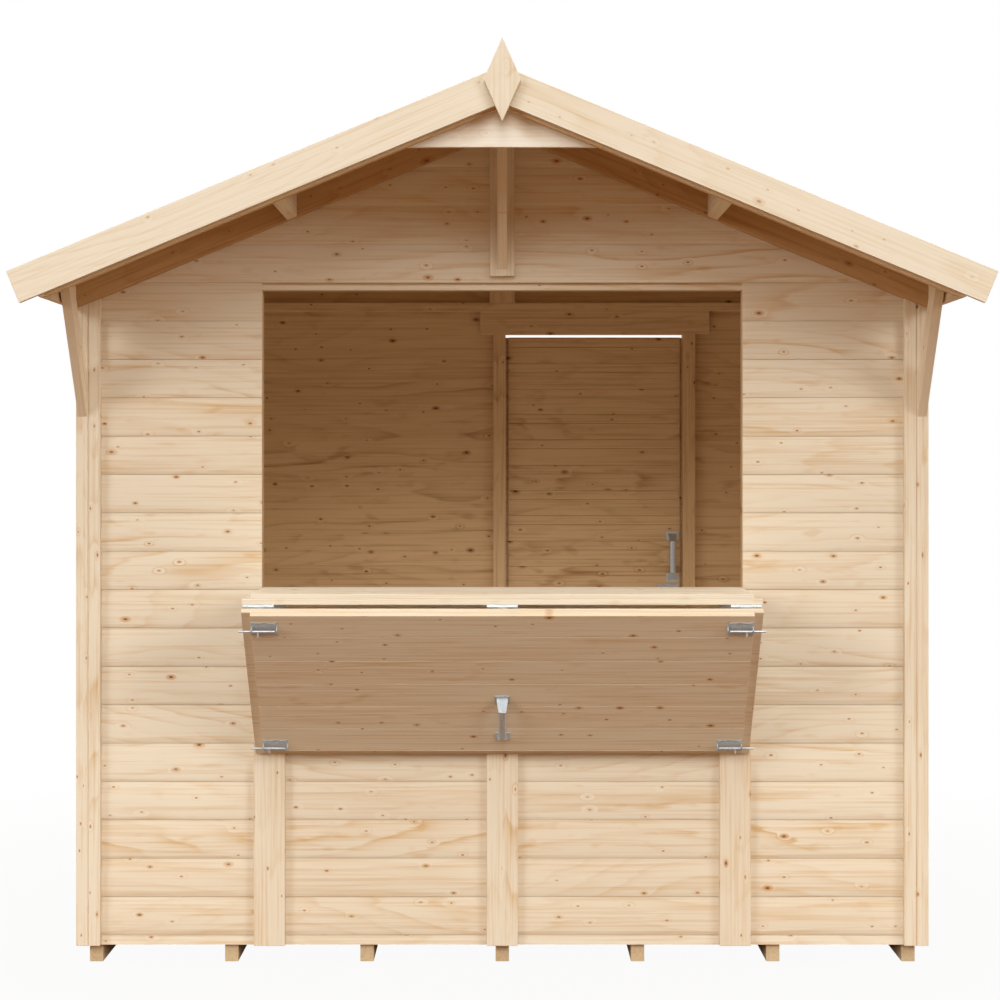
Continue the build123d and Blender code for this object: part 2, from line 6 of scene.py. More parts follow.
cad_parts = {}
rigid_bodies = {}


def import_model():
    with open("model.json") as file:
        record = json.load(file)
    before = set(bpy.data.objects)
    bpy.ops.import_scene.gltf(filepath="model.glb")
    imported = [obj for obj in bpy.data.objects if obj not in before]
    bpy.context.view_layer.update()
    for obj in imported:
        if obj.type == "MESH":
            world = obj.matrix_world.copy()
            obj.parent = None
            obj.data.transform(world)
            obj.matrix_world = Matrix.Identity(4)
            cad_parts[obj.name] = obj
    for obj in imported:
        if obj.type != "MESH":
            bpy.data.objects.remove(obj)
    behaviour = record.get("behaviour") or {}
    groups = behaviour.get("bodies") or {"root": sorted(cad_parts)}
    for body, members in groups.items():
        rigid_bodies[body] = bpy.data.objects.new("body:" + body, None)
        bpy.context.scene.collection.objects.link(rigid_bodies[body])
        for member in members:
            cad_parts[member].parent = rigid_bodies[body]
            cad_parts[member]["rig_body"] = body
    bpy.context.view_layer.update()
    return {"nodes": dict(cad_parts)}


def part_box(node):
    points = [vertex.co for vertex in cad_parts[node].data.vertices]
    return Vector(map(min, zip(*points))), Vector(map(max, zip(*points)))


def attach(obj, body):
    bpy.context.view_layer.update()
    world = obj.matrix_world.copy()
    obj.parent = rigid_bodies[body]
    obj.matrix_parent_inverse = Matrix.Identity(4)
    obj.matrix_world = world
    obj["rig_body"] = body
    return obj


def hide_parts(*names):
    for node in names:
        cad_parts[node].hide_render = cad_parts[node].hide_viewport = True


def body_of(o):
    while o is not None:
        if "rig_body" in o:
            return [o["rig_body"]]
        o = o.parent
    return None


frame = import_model()

# The stall stands on z = 0 with its front towards -y. Sizes are in metres, as in the frame.
MM = 0.001

# Cladding: thickness, pitch, the first joint's height, the outer face's crown, how far a board
# laps the next one, and the gap above its thin head
CLAD = 16 * MM
BOARD = 111.5 * MM
FIRST_JOINT = 80 * MM
CROWN = 1.6 * MM
LAP = 2.2 * MM
JOINT_GAP = 0.5 * MM
PROFILE_CUTS = 8
DRIP_EDGE = 0.7 * MM
INNER_BEAD = 0.8 * MM

# Edges as a plane leaves them: of timbers, of the prop leaf's thin boards, and of metal
EDGE = 1.2 * MM
FINE_EDGE = 0.4 * MM
METAL_EDGE = 0.5 * MM
SHARP = math.radians(30)

# Roof and floor. The roof's first board reaches over the ridge and is cut there.
DECK = 12 * MM
RIDGE_TOP = 2492.18 * MM
RIDGE_REACH = 6 * MM
ROOF_HALF = 1318 * MM
ROOF_PITCH = math.radians(22.5)
ROOF_BOARD = 110 * MM
ROOF_BOARDS = 13
FLOOR_BOARDS = 14
DECK_GAP = 0.6 * MM

# The hatch is drawn shut and upright, then folded: its pins' depth and heights, and its lean
PIN_DEPTH = -793.5 * MM
COUNTER_PIN = 1059 * MM
PROP_HINGE = 1413 * MM
LEAN = math.radians(40.024)
# The prop leaf's pin once the counter is down, as depth and height
PROP_PIN = (PIN_DEPTH - PROP_HINGE + COUNTER_PIN, COUNTER_PIN)
BRACE_LEAN = math.radians(37)

# Depths in the leaves of hatch and door: their inner faces, and the joint of their two layers
DOOR_BOARD = 91 * MM
INNER_FACE = -759 * MM
HATCH_JOINT = -773 * MM
DOOR_FACE = 756 * MM
DOOR_JOINT = 770 * MM
DOOR_BACK = 786 * MM
LAYER_GAP = 0.02 * MM
JOINT_SEARCH = 40 * MM

# Bolts: the rod and its knob, the plates' places, and the door bolt's way back
ROD = 3 * MM
ROD_TAIL = 30 * MM
ROD_LENGTH = 100 * MM
ROD_ROUND = 1.2 * MM
STAND_OFF = 12 * MM
KNOB = 2.5 * MM
KNOB_LENGTH = 16 * MM
KNOB_PLACE = 17 * MM
KNOB_TURN = math.radians(55)
BOLT_X = 651 * MM
BOLT_PLACES = (50 * MM, 517 * MM)
DOOR_BOLT_X = 598 * MM
DOOR_BOLT_HEIGHT = 992 * MM
DOOR_THROW = 34 * MM

# Handles and hinges
HATCH_HANDLE_HEIGHT = 1817 * MM
DOOR_HANDLE_X = 611 * MM
DOOR_HANDLE_HEIGHT = 1114 * MM
HINGE_X = (-667 * MM, 0, 667 * MM)
DOOR_HINGE_HEIGHTS = (320 * MM, 1650 * MM)
DOOR_PIN = 4.5 * MM
FLAP_MIDDLE = 19 * MM

# Screws: the head and its cross, and the places from the middle of a flap, plate or foot
HEAD = 3.2 * MM
HEAD_HEIGHT = 1.0 * MM
HEAD_ROUND = 0.6 * MM
CROSS_HALF = 2 * MM
CROSS_HALF_WIDTH = 0.35 * MM
FLAP_SCREWS = (-30 * MM, 0, 30 * MM)
PLATE_SCREWS = (29 * MM, 17 * MM)
HANDLE_SCREWS = (14 * MM, 86 * MM)
PLATE = 2 * MM
HANDLE_FOOT = 2.5 * MM
WALL_FLAP_DEPTH = 5.5 * MM
LEAF_FLAP_DEPTH = 2.5 * MM

# How near two places count as one: in cutting, merging, picking edges and counting rows
CUT_SLACK = 1e-6
MERGE_SLACK = 1e-5
NEAR_SLACK = 1e-5
ROW_SLACK = 1e-4

# Photo and camera: the frame's width and the eye's place in pixels, then metres
PHOTO_WIDTH = 1000
EYE_PIXEL = (502.3, 461.0)
FOCAL_PIXELS = 2210
EYE_HEIGHT = 1.457
EYE_DISTANCE = 6.42
SENSOR = 36

# Floor: how much of it the camera sees as plain white near the stall, and where all of it is
FLOOR_COLOUR = (130, 96, 64)
NEAR_WHITE = 0.95
WHITE_FROM = 1.2
WHITE_AT = 3.4
FLOOR_SIZE = 60
FLOOR_DROP = -1 * MM

# Light: cool suns, and the warm glow of everything round the stall
SUN_COLOUR = (0.94, 1.0, 1.02)
GLOW_COLOUR = (1.0, 0.43, 0.10, 1)
GLOW_STRENGTH = 0.25
WHITE = (1, 1, 1, 1)

# Shades of pine on a screen: in daylight, darker and warmer with painted shade for the inside of
# the stall, on sawn timbers, and by piece
DAYLIGHT = {"pale": (236, 223, 200), "honey": (216, 180, 130)}
PAINTED_SHADE = {"pale": (222, 187, 143), "honey": (166, 117, 72), "dark_knot": (80, 38, 16),
          "figure": 0.75}
TIMBER = {"pale": (238, 221, 194), "honey": (216, 184, 140)}
SAWN = {"pale": (214, 190, 152), "honey": (190, 152, 108)}
TRIM = {"pale": (236, 225, 204), "honey": (220, 196, 158)}
# Darker pine for the rafters under the roof, deeper on the gable rafters than on the outer ones:
# painted shade
DEEP_PAINTED_SHADE = {"pale": (205, 166, 118), "honey": (170, 120, 70)}
SOFFIT_PAINTED_SHADE = {"pale": (222, 192, 150), "honey": (196, 152, 102)}
PANEL = {"pale": (250, 243, 228), "honey": (234, 213, 178)}
# Paler pine on the counter leaf: painted light for its lit top
COUNTER_PAINTED_LIGHT = {"pale": (239, 228, 207), "honey": (220, 196, 160)}
# Darker pine on the prop leaf, which faces down: painted shade
PROP_PAINTED_SHADE = {"pale": (229, 213, 187), "honey": (206, 168, 118)}
DARK_KNOT = (122, 62, 22)
ZINC_BRIGHT = (214, 222, 228)
ZINC_DULL = (180, 189, 195)

# Growth of the pine: ring width, and how deep and how uneven the heart of the log lies
RING = 5 * MM
HEART_DEPTH = 28 * MM
HEART_SPREAD = 50 * MM
BOW = 75 * MM
DRIFT = 6 * MM
KNOT_PULL = 10 * MM
# Knots to the metre, along and across, and their size in knot spacings
KNOTS_ALONG = 7.5
KNOTS_ACROSS = 14
KNOTLESS_SHARE = 0.32
PIN_KNOT = 0.016
KNOT_RANGE = 0.035


def srgb(red, green, blue):
    """A colour seen on a screen, 0 to 255, as the linear colour a shader takes."""
    def linear(part):
        part = part / 255
        return part / 12.92 if part <= 0.04045 else ((part + 0.055) / 1.055) ** 2.4
    return (linear(red), linear(green), linear(blue), 1.0)


# Shader maths


class Wire:
    """A number or vector in a material, so that its sums read as sums."""

    def __init__(self, finish, socket):
        self.finish = finish
        self.socket = socket

    def maths(self, operation, *others):
        inputs = {0: self}
        for place, other in enumerate(others):
            inputs[place + 1] = other
        return self.finish.add("ShaderNodeMath", {"operation": operation}, inputs)

    def __add__(self, other):
        return self.maths("ADD", other)

    def __sub__(self, other):
        return self.maths("SUBTRACT", other)

    def __mul__(self, other):
        return self.maths("MULTIPLY", other)

    def __truediv__(self, other):
        return self.maths("DIVIDE", other)

    def __pow__(self, other):
        return self.maths("POWER", other)

    def __rsub__(self, other):
        return self.finish.add("ShaderNodeMath", {"operation": "SUBTRACT"}, {0: other, 1: self})

    def __rtruediv__(self, other):
        return self.finish.add("ShaderNodeMath", {"operation": "DIVIDE"}, {0: other, 1: self})

    __radd__ = __add__
    __rmul__ = __mul__

    def floor(self):
        return self.maths("FLOOR")

    def fraction(self):
        return self.maths("FRACT")

    def size(self):
        return self.maths("ABSOLUTE")

    def root(self):
        return self.maths("SQRT")

    def above(self, limit):
        return self.maths("GREATER_THAN", limit)

    def between(self, low, high):
        """Zero at low, one at high, and held there outside."""
        return self.finish.add("ShaderNodeMapRange", {"clamp": True},
                               {"Value": self, "From Min": low, "From Max": high})


class Finish:
    """A material under construction."""

    def __init__(self, name):
        self.material = bpy.data.materials.new(name)
        self.material.use_nodes = True
        self.tree = self.material.node_tree
        self.surface = self.tree.nodes["Principled BSDF"]

    def add(self, kind, settings=None, inputs=None, output=0):
        """A node of this kind, with its settings and the values or links of its sockets."""
        node = self.tree.nodes.new(kind)
        for key, value in (settings or {}).items():
            setattr(node, key, value)
        for key, value in (inputs or {}).items():
            if isinstance(value, Wire):
                self.tree.links.new(value.socket, node.inputs[key])
            else:
                node.inputs[key].default_value = value
        return Wire(self, node.outputs[output])

    def place(self):
        """The x, y and z of a point of the object."""
        coordinates = self.add("ShaderNodeTexCoord", output="Object")
        split = self.add("ShaderNodeSeparateXYZ", inputs={0: coordinates})
        node = split.socket.node
        return [Wire(self, node.outputs[i]) for i in range(3)]

    def vector(self, x, y, z):
        return self.add("ShaderNodeCombineXYZ", inputs={0: x, 1: y, 2: z})

    def noise(self, vector, scale=1.0, detail=2.0):
        return self.add("ShaderNodeTexNoise", inputs={
            "Vector": vector, "Scale": scale, "Detail": detail})

    def chance(self, x, y):
        """A number from 0 to 1 that belongs to this x and y."""
        return self.add("ShaderNodeTexWhiteNoise", {"noise_dimensions": "3D"},
                        {"Vector": self.vector(x, y, 0.0)}, output="Value")

    def blend(self, factor, first, second):
        return self.add("ShaderNodeMix", {"data_type": "RGBA"},
                        {"Factor": factor, 6: first, 7: second}, output=2)

    def bump(self, height, distance, strength):
        normal = self.add("ShaderNodeBump", inputs={
            "Height": height, "Distance": distance, "Strength": strength})
        self.tree.links.new(normal.socket, self.surface.inputs["Normal"])

    def feed(self, name, value):
        if isinstance(value, Wire):
            self.tree.links.new(value.socket, self.surface.inputs[name])
        else:
            self.surface.inputs[name].default_value = value


# Pine


def grain_axes(wood):
    """Directions that a grain can follow, and the ones across it, in metres."""
    x, y, z = wood.place()
    tilt_cos = math.cos(ROOF_PITCH)
    tilt_sin = math.sin(ROOF_PITCH)
    lean_cos = math.cos(LEAN)
    lean_sin = math.sin(LEAN)
    forward = y - PROP_PIN[0]
    rise = z - PROP_PIN[1]
    steep_cos = math.cos(BRACE_LEAN)
    steep_sin = math.sin(BRACE_LEAN)
    return {"x": x, "y": y, "z": z,
            "slope": x.size() * tilt_cos - z * tilt_sin,
            "rise": x.size() * tilt_sin + z * tilt_cos,
            "down_prop": forward * lean_sin - rise * lean_cos,
            "through_prop": forward * lean_cos + rise * lean_sin,
            "up_brace": z * steep_cos - y * steep_sin,
            "through_brace": z * steep_sin + y * steep_cos}


def knots_of(wood, along, across, board_chance):
    """Knots scattered over boards: how far the next one is, its lots, and whether it shows."""
    cells = wood.add("ShaderNodeTexVoronoi", {"voronoi_dimensions": "2D"}, {
        "Vector": wood.vector(along * KNOTS_ALONG,
                              across * KNOTS_ACROSS + board_chance * 3.0, 0.0),
        "Scale": 1.0}).socket.node
    lots = wood.add("ShaderNodeSeparateColor",
                    inputs={0: Wire(wood, cells.outputs["Color"])}).socket.node
    luck, girth, shade = (Wire(wood, lots.outputs[i]) for i in range(3))
    return Wire(wood, cells.outputs["Distance"]), girth, shade, luck.above(KNOTLESS_SHARE)


def pine(name, along, across, depth, pitch, start=0.0, pale=DAYLIGHT["pale"],
         honey=DAYLIGHT["honey"], figure=1.0, knots=1.0, seed=0.0, dark_knot=DARK_KNOT):
    """Planed pine, sawn as boards of one pitch. Its rings are solid, so they show on ends too.

    u runs along the grain, v across the boards and w into them, in metres. The numbers that
    they are multiplied by in a noise are its waves to the metre.
    """
    wood = Finish(name)
    axes = grain_axes(wood)
    u = axes[along]
    v = axes[across]
    w = axes[depth]
    # each board has a number of its own, and three lots drawn from it
    row = ((v - start) / pitch).floor()
    side = axes["x"].above(0.0) if "slope" in (along, across) else 0.0
    board = row + side * 7.0 + seed
    first, second, third = (wood.chance(board, lot) for lot in (1.3, 4.7, 9.1))
    local = v - start - (row + 0.5) * pitch + (first - 0.5) * (pitch * 1.3)
    shifted = u + first * 11.0 + second * 5.0
    # knots, the rust round them, and how the grain bends past
    far, girth, shade, present = knots_of(wood, shifted, v, first)
    reach = far / ((girth ** 4.0) * KNOT_RANGE + PIN_KNOT)
    core = (1.0 - reach.between(0.55, 1.15)) * present * knots
    halo = (1.0 - reach.between(0.7, 3.2)) * present * knots
    swirl = (1.0 - far.between(0.0, 0.22)) ** 2.0 * present
    # growth rings round a heart that wanders along the log, pale early and dark late
    bow = wood.noise(wood.vector(shifted * 0.7, board * 3.0, 0.0), detail=1.0)
    drift = wood.noise(wood.vector(shifted * 2.2, v * 24.0, w * 24.0 + board))
    below = w + HEART_DEPTH + third * HEART_SPREAD + (bow - 0.5) * BOW + drift * DRIFT
    phase = (((local * local + below * below).root() + swirl * KNOT_PULL) / RING).fraction()
    late = (phase ** 4.0) * (1.0 - phase.between(0.90, 1.0))
    patch = wood.noise(wood.vector(shifted * 1.3, v * 12.0, board * 2.0))
    strong = patch.between(0.45, 0.70) * (second * 0.8 + 0.25)
    # streaks of tone along the grain, single fibres, broad clouds and amber flecks
    streak = wood.noise(wood.vector(shifted * 2.6, v * 140.0, w * 140.0 + board), detail=3.0)
    fibre = wood.noise(wood.vector(shifted * 9.0, v * 520.0, w * 520.0))
    cloud = wood.noise(wood.vector(shifted * 1.4, v * 9.0, w * 9.0 + board))
    fleck = wood.noise(wood.vector(shifted * 12.0, v * 34.0, w * 34.0 + board * 3.0), detail=1.0)
    amber = fleck.between(0.62, 0.78) * second
    tone = late * (strong * 1.25 + 0.22) * figure + streak.between(0.47, 0.74) * 0.56 * figure
    tone = tone + (fibre - 0.5) * 0.26 + cloud.between(0.50, 0.78) * 0.12 + (first - 0.5) * 0.16
    tone = (tone + amber * 0.45 + halo * 0.5).between(0.0, 1.0)
    # colours: pale to honey, rust round a knot, and its dark core
    rust = srgb(honey[0] * 0.90, honey[1] * 0.76, honey[2] * 0.58)
    clear_wood = wood.blend(tone, srgb(*pale), srgb(*honey))
    rusty = wood.blend(halo * (shade * 0.6 + 0.25), clear_wood, rust)
    wood.feed("Base Color", wood.blend(core * (shade * 0.4 + 0.6), rusty, srgb(*dark_knot)))
    wood.feed("Roughness", late * strong * 0.10 + fibre * 0.10 + 0.52)
    wood.feed("Specular IOR Level", 0.25)
    wood.bump(late * strong * 0.4 + fibre * 0.6 - core * 0.5, 0.5 * MM, 0.35)
    return wood.material


# Metal


def zinc():
    """Dull zinc plate with a faint spangle and brushed streaks."""
    steel = Finish("zinc_plate")
    x, y, z = steel.place()
    spangle = steel.noise(steel.vector(x, y, z), scale=260.0, detail=3.0)
    brushed = steel.noise(steel.vector(x * 60.0, y * 900.0, z * 900.0), detail=1.0)
    steel.feed("Base Color", steel.blend(spangle.between(0.3, 0.7), srgb(*ZINC_DULL),
                                         srgb(*ZINC_BRIGHT)))
    steel.feed("Metallic", 0.55)
    steel.feed("Roughness", spangle * 0.14 + brushed * 0.10 + 0.26)
    steel.bump(brushed, 0.1 * MM, 0.2)
    return steel.material


# Modelling helpers


def clear():
    bpy.ops.object.select_all(action="DESELECT")


def select(piece):
    """Selects one piece and nothing else."""
    clear()
    piece.select_set(True)
    bpy.context.view_layer.objects.active = piece


def settle(piece):
    """Puts a piece's place, turn and size into its mesh."""
    select(piece)
    bpy.ops.object.transform_apply(location=True, rotation=True, scale=True)


def slab(name, low, high):
    """A block between two corners, ready to be shaped."""
    low = Vector(low)
    high = Vector(high)
    clear()
    bpy.ops.mesh.primitive_cube_add(size=1, location=(low + high) / 2)
    piece = bpy.context.active_object
    piece.name = name
    piece.scale = high - low
    settle(piece)
    return piece


def edit(piece, mode="EDGE"):
    """Opens a piece in edit mode with nothing selected."""
    select(piece)
    bpy.ops.object.mode_set(mode="EDIT")
    bpy.ops.mesh.select_mode(type=mode)
    bpy.ops.mesh.select_all(action="DESELECT")


def pick_edges(piece, wanted):
    """Selects the edges for which wanted(first end, second end) is true."""
    bpy.ops.object.mode_set(mode="OBJECT")
    mesh = piece.data
    for edge in mesh.edges:
        a, b = (mesh.vertices[i].co for i in edge.vertices)
        edge.select = wanted(a, b)
    bpy.ops.object.mode_set(mode="EDIT")


def done():
    bpy.ops.object.mode_set(mode="OBJECT")


def near(a, b):
    """Whether two numbers are the same place."""
    return abs(a - b) < NEAR_SLACK


def cut(piece, point, normal, clear_outer=False):
    """Cuts the piece by a plane, and takes away what lies beyond it if asked."""
    edit(piece)
    bpy.ops.mesh.select_all(action="SELECT")
    bpy.ops.mesh.bisect(plane_co=point, plane_no=normal, use_fill=clear_outer,
                        clear_outer=clear_outer, threshold=CUT_SLACK)
    done()


def shift(piece, wanted, move):
    """Moves the points for which wanted(point) is true."""
    edit(piece, "VERT")
    bpy.ops.object.mode_set(mode="OBJECT")
    for point in piece.data.vertices:
        point.select = wanted(point.co)
    bpy.ops.object.mode_set(mode="EDIT")
    bpy.ops.transform.translate(value=move)
    done()


def bevel(piece, wanted, width, segments=2):
    """Rounds the edges for which wanted(first end, second end) is true."""
    edit(piece)
    pick_edges(piece, wanted)
    bpy.ops.mesh.bevel(offset=width, segments=segments)
    done()


def join(name, pieces):
    """Makes one piece of several."""
    clear()
    for piece in pieces:
        piece.select_set(True)
    bpy.context.view_layer.objects.active = pieces[0]
    if len(pieces) > 1:
        bpy.ops.object.join()
    whole = bpy.context.active_object
    whole.name = name
    return whole


def copy(piece, matrix):
    """A copy with its own mesh, moved or turned by a matrix."""
    twin = piece.copy()
    twin.data = piece.data.copy()
    bpy.context.collection.objects.link(twin)
    twin.data.transform(matrix)
    if matrix.determinant() < 0:
        twin.data.flip_normals()
    return twin


def smooth(piece):
    """Smooth shading on round faces, with flat faces kept flat."""
    select(piece)
    bpy.ops.object.shade_smooth_by_angle(angle=math.radians(40))
    even = piece.modifiers.new("even", "WEIGHTED_NORMAL")
    even.keep_sharp = True
    bpy.ops.object.modifier_apply(modifier=even.name)


def soften(piece, width=EDGE):
    """Rounds the sharp edges of a piece."""
    select(piece)
    rounding = piece.modifiers.new("rounding", "BEVEL")
    rounding.width = width
    rounding.segments = 2
    rounding.limit_method = "ANGLE"
    rounding.angle_limit = SHARP
    bpy.ops.object.modifier_apply(modifier=rounding.name)


def dress(piece, body, finish, slot, *nodes):
    """Gives a piece its finish and the body of the record that it stands for, and hides that
    record's nodes. slot is not used.
    """
    piece.data.materials.clear()
    piece.data.materials.append(finish)
    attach(piece, body)
    if nodes:
        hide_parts(*nodes)
    return piece


def bare_copy(name, node):
    """A flat-shaded copy of a node, with its points merged and its flat faces whole."""
    clear()
    twin = frame["nodes"][node].copy()
    twin.data = frame["nodes"][node].data.copy()
    bpy.context.collection.objects.link(twin)
    twin.name = name
    twin.parent = None
    twin.matrix_world = Matrix.Identity(4)
    select(twin)
    bpy.ops.mesh.customdata_custom_splitnormals_clear()
    bpy.ops.object.shade_flat()
    edit(twin)
    bpy.ops.mesh.select_all(action="SELECT")
    bpy.ops.mesh.remove_doubles(threshold=MERGE_SLACK)
    bpy.ops.mesh.dissolve_limited(angle_limit=math.radians(1))
    done()
    return twin


def eased_copy(name, node, width=EDGE):
    """A copy of a node of the frame with its edges rounded, as a plane leaves them."""
    twin = bare_copy(name, node)
    soften(twin, width)
    return twin


# Finishes

cladding_x = pine("cladding_across", "x", "z", "y", BOARD, FIRST_JOINT)
cladding_y = pine("cladding_along", "y", "z", "x", BOARD, FIRST_JOINT, seed=31.0)
# Inside faces of the walls take pine with painted shade: darker and warmer than in daylight
inner_x_painted_shade = pine("back_wall_inside_painted_shade", "x", "z", "y", BOARD, FIRST_JOINT, seed=5.0, **PAINTED_SHADE)
inner_y_painted_shade = pine("side_wall_inside_painted_shade", "y", "z", "x", BOARD, FIRST_JOINT, seed=7.0, **PAINTED_SHADE)
upright = pine("upright_pine", "z", "x", "y", 45 * MM, seed=57.0)
upright_side = pine("upright_side_pine", "z", "y", "x", 70 * MM, seed=71.0)
# Uprights inside the stall take pine with painted shade
upright_inside_painted_shade = pine("upright_inside_painted_shade", "z", "x", "y", 60 * MM, 12 * MM, seed=59.0, **PAINTED_SHADE)
crosswise = pine("crosswise_pine", "x", "z", "y", 200 * MM, 30 * MM, seed=91.0)
# Rails inside the stall take pine with painted shade
crosswise_inside_painted_shade = pine("crosswise_inside_painted_shade", "x", "z", "y", 210 * MM, 30 * MM, seed=61.0,
                        **PAINTED_SHADE)
bargeboard = pine("bargeboard_pine", "slope", "rise", "y", 400 * MM, 100 * MM, seed=83.0,
                  knots=0.5, **TRIM)
# The rafters under the roof take darker pine: painted shade
outer_rafter_painted_shade = pine("outer_rafter_painted_shade_pine", "slope", "rise", "y", 400 * MM, 100 * MM, seed=84.0,
                    knots=0.4, **SOFFIT_PAINTED_SHADE)
rafter_painted_shade = pine("rafter_painted_shade_pine", "slope", "rise", "y", 400 * MM, 100 * MM, seed=85.0, knots=0.6,
              **DEEP_PAINTED_SHADE)
gable_panel = pine("gable_panel_pine", "x", "z", "y", 200 * MM, 30 * MM, seed=95.0, knots=0.2,
                   **PANEL)
finial_pine = pine("finial_pine", "z", "x", "y", 90 * MM, -45 * MM, seed=89.0, knots=0.0,
                   **TRIM)
beam = pine("beam_pine", "y", "x", "z", 100 * MM, 20 * MM, seed=19.0, **TIMBER)
bearer_pine = pine("bearer_pine", "y", "x", "z", 100 * MM, 20 * MM, seed=17.0, knots=0.5,
                   **SAWN)
brace_pine = pine("brace_pine", "up_brace", "through_brace", "x", 90 * MM, seed=25.0, **TIMBER)
roof_pine = pine("roof_boards", "y", "slope", "rise", ROOF_BOARD,
                 -RIDGE_REACH - RIDGE_TOP * math.sin(ROOF_PITCH), seed=13.0)
floor_pine = pine("floor_boards", "x", "y", "z", ROOF_BOARD, seed=15.0, **SAWN)
# The door's inner boards take pine with painted shade
door_inside_painted_shade = pine("door_boards", "x", "z", "y", DOOR_BOARD, 78 * MM, seed=23.0, **PAINTED_SHADE)
door_outside = pine("door_outside", "x", "z", "y", BOARD, FIRST_JOINT, seed=33.0)
# The prop leaf's pine carries painted shade
prop_painted_shade_pine = pine("prop_boards", "x", "down_prop", "through_prop", DOOR_BOARD, 84 * MM,
                 seed=41.0, **PROP_PAINTED_SHADE)
# The counter's pine carries painted light
counter_painted_light_pine = pine("counter_boards", "x", "y", "z", DOOR_BOARD, seed=43.0, **COUNTER_PAINTED_LIGHT)
zinc_plate = zinc()

# The timbers that are copied from the frame with their edges eased. Those inside the stall take
# pine with painted shade.
timber_finish = {
    "bearers": bearer_pine, "wall_studs": upright_inside_painted_shade, "front_sill": crosswise,
    "front_head_rail": crosswise, "wall_plates": beam, "back_posts": upright_inside_painted_shade,
    "door_lintel": crosswise_inside_painted_shade, "back_rail": crosswise_inside_painted_shade,
    "back_gable_post": upright_inside_painted_shade, "front_corner_boards": upright,
    "back_corner_boards": upright, "side_corner_boards": upright_side,
    "front_battens": upright, "door_trims": upright, "corner_braces": brace_pine,
    # The rafters under the roof take darker pine with painted shade
    "centre_brace": brace_pine, "ridge_beam": beam, "outer_rafters": outer_rafter_painted_shade,
    "gable_rafters": rafter_painted_shade, "purlins": beam, "overhang_noggins": beam, "eaves_boards": beam,
    "overhang_gable_panel": gable_panel, "front_bargeboards": bargeboard,
    "back_bargeboards": bargeboard, "finials": finial_pine,
}
slots = {node: thing.data.materials[0].name for node, thing in frame["nodes"].items()}
bodies = {node: body_of(thing)[0] for node, thing in frame["nodes"].items()}


def replace(piece, node, finish):
    """Dresses a piece that stands for one node of the frame."""
    return dress(piece, bodies[node], finish, slots[node], node)


def second_finish(piece, finish, facing):
    """Gives the faces that look along facing a finish of their own."""
    piece.data.materials.append(finish)
    for polygon in piece.data.polygons:
        if polygon.normal.dot(facing) > 0.5:
            polygon.material_index = 1


fixed = Matrix.Identity(4)
mirrored = Matrix.Diagonal((-1, 1, 1, 1))
faces_back = Matrix.Rotation(math.pi, 4, "Z")


# Walls of lapped boards


def lapped_board():
    """One board a metre long with its outer face towards -y: crowned, and thin at its head."""
    board = slab("board", (-0.5, 0, 0), (0.5, CLAD, BOARD))
    for i in range(1, PROFILE_CUTS):
        cut(board, (0, 0, BOARD * i / PROFILE_CUTS), (0, 0, 1))
    peak = BOARD / (1 + math.sqrt((CROWN + LAP) / CROWN))
    for i in range(PROFILE_CUTS + 1):
        height = BOARD * i / PROFILE_CUTS
        depth = CROWN * ((height - peak) / peak) ** 2
        shift(board, lambda p: near(p.y, 0) and near(p.z, height), (0, depth, 0))
    shift(board, lambda p: near(p.z, BOARD) and p.y < CLAD / 2, (0, 0, -JOINT_GAP))
    bevel(board, lambda a, b: near(a.z, 0) and near(b.z, 0) and a.y < CLAD / 2
          and near(a.y, b.y), DRIP_EDGE)
    bevel(board, lambda a, b: near(a.y, CLAD) and near(b.y, CLAD) and near(a.z, b.z),
          INNER_BEAD, 1)
    return board


def wall(node, turn, outer, inner, roof_line=False):
    """Covers a wall with lapped boards, cut to its outline. turn faces them outwards."""
    low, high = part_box(node)
    middle = (low + high) / 2
    sideways = abs(math.sin(turn)) > 0.5
    length = high.y - low.y if sideways else high.x - low.x
    facing = Vector((math.sin(turn), -math.cos(turn), 0))
    face = Vector((high[i] if facing[i] > 0.5 else low[i] if facing[i] < -0.5 else middle[i]
                   for i in range(3)))
    rows = []
    first = math.floor((low.z - FIRST_JOINT) / BOARD + ROW_SLACK)
    last = math.ceil((high.z - FIRST_JOINT) / BOARD - ROW_SLACK)
    for row in range(first, last):
        height = FIRST_JOINT + row * BOARD
        seat = Matrix.Translation((face.x, face.y, height)) @ Matrix.Rotation(turn, 4, "Z")
        board = copy(lap, seat @ Matrix.Diagonal((length, 1, 1, 1)))
        if height < low.z - ROW_SLACK:
            cut(board, low, (0, 0, -1), True)
        if height + BOARD > high.z + ROW_SLACK:
            cut(board, high, (0, 0, 1), True)
        if roof_line:
            for side in (-1, 1):
                uphill = (side * math.sin(ROOF_PITCH), 0, math.cos(ROOF_PITCH))
                cut(board, (0, 0, RIDGE_TOP), uphill, True)
        rows.append(board)
    whole = replace(join(node + "_boards", rows), node, outer)
    # The inner faces take the pine with painted shade
    second_finish(whole, inner, -facing)
    select(whole)
    bpy.ops.object.shade_smooth_by_angle(angle=math.radians(25))


lap = lapped_board()
for node in ("front_wall_left", "front_wall_right", "front_wall_lower"):
    wall(node, 0, cladding_x, inner_x_painted_shade)
wall("front_gable", 0, cladding_x, inner_x_painted_shade, True)
for node in ("back_wall_left", "back_wall_right", "back_wall_over_door"):
    wall(node, math.pi, cladding_x, inner_x_painted_shade)
wall("back_gable", math.pi, cladding_x, inner_x_painted_shade, True)
wall("right_wall", math.pi / 2, cladding_y, inner_y_painted_shade)
wall("left_wall", -math.pi / 2, cladding_y, inner_y_painted_shade)
bpy.data.objects.remove(lap)


# Boards of the roof and the floor


